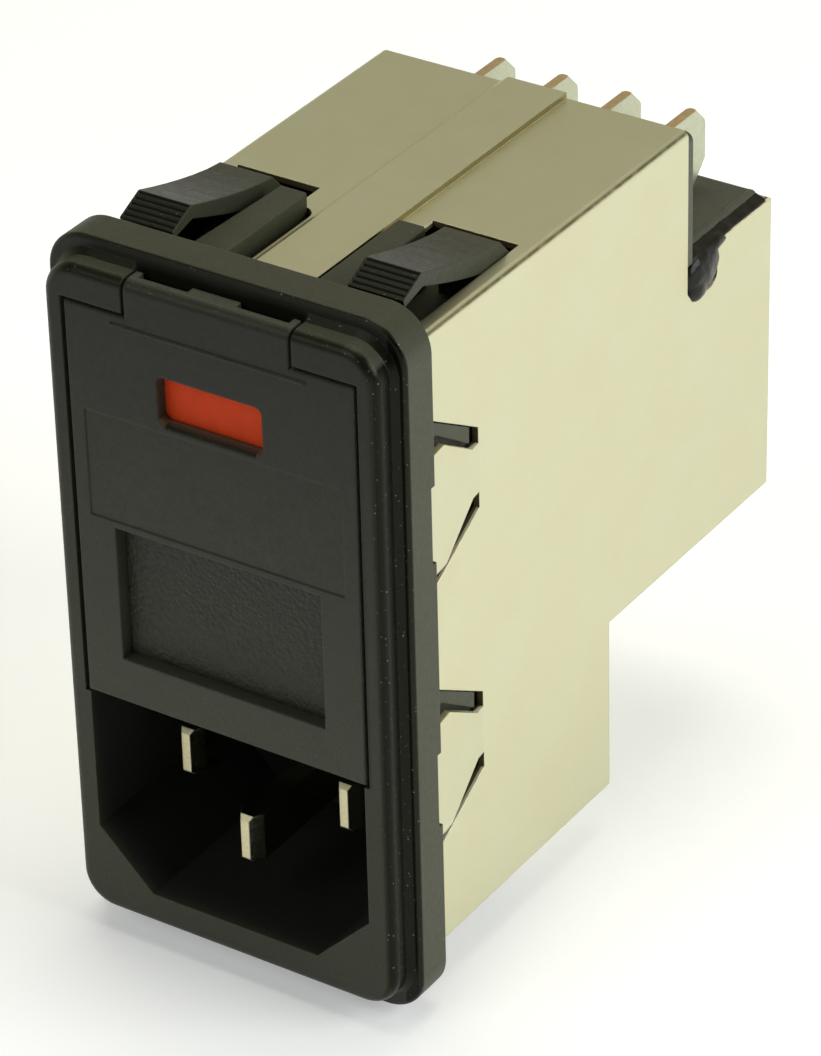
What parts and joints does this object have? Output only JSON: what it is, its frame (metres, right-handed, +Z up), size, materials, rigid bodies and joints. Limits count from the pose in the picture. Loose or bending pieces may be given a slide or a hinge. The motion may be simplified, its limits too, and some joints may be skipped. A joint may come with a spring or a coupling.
{
  "type": "iec power line filter",
  "caption": "Snap-in panel power entry filter: appliance inlet under a fuse drawer, stepped sheet-metal filter can behind, flat blade terminals at the rear.",
  "frame": {"origin": "centre of the can opening in the plane of the flange's back face, where the flange seats on the panel", "axes": "+Y into the panel towards the blade terminals, +Z up from the inlet to the fuse drawer, +X to the viewer's right from the front"},
  "size_m": [0.03, 0.055, 0.0585],
  "materials": {
    "housing_plastic": "moulded black thermoplastic, fine spark texture",
    "cover_plastic": "moulded black thermoplastic, leather grain in the grip recess",
    "carrier_plastic": "moulded black thermoplastic",
    "terminal_plastic": "moulded black thermoplastic",
    "red_insert": "red, smooth",
    "tinned_sheet": "tin plated sheet, semi-matt",
    "tinned_brass": "tin plated brass, bare brown cut edges",
    "nickel_contact": "nickel plated brass",
    "spring_brass": "spring brass",
    "fuse_glass": "clear glass",
    "fuse_cap_metal": "nickel plated brass caps",
    "fuse_wire_metal": "tinned wire",
    "ferrite": "ferrite with clear coat",
    "copper_wire": "enamelled copper",
    "film_capacitor": "yellow box",
    "disc_coating": "blue epoxy coating",
    "resistor_coating": "lacquered body",
    "potting_resin": "glossy black resin"
  },
  "bodies": {
    "module": {"blade_1": "tinned_brass", "blade_2": "tinned_brass", "blade_3": "tinned_brass", "blade_4": "tinned_brass", "bleed_resistor": "resistor_coating", "can_shell": "tinned_sheet", "choke_core": "ferrite", "earth_pin": "nickel_contact", "front_housing": "housing_plastic", "line_choke_lead": "copper_wire", "line_lead": "copper_wire", "line_pin": "nickel_contact", "line_winding": "copper_wire", "lower_clip_left": "spring_brass", "lower_clip_right": "spring_brass", "neutral_choke_lead": "copper_wire", "neutral_lead": "copper_wire", "neutral_pin": "nickel_contact", "neutral_winding": "copper_wire", "potting_compound": "potting_resin", "terminal_block": "terminal_plastic", "upper_clip_left": "spring_brass", "upper_clip_right": "spring_brass", "x_capacitor": "film_capacitor", "y_capacitor_left": "disc_coating", "y_capacitor_right": "disc_coating"},
    "drawer": {"drawer_cover": "cover_plastic", "fuse_block": "carrier_plastic", "lower_fuse_cap_left": "fuse_cap_metal", "lower_fuse_cap_right": "fuse_cap_metal", "lower_fuse_glass": "fuse_glass", "lower_fuse_wire": "fuse_wire_metal", "upper_fuse_cap_left": "fuse_cap_metal", "upper_fuse_cap_right": "fuse_cap_metal", "upper_fuse_glass": "fuse_glass", "upper_fuse_wire": "fuse_wire_metal", "window_insert": "red_insert"}
  },
  "joints": [
    {"name": "drawer_slide", "type": "slide", "parent": "module", "child": "drawer", "axis": [0, -1, 0], "range_m": [0, 0.014]}
  ]
}
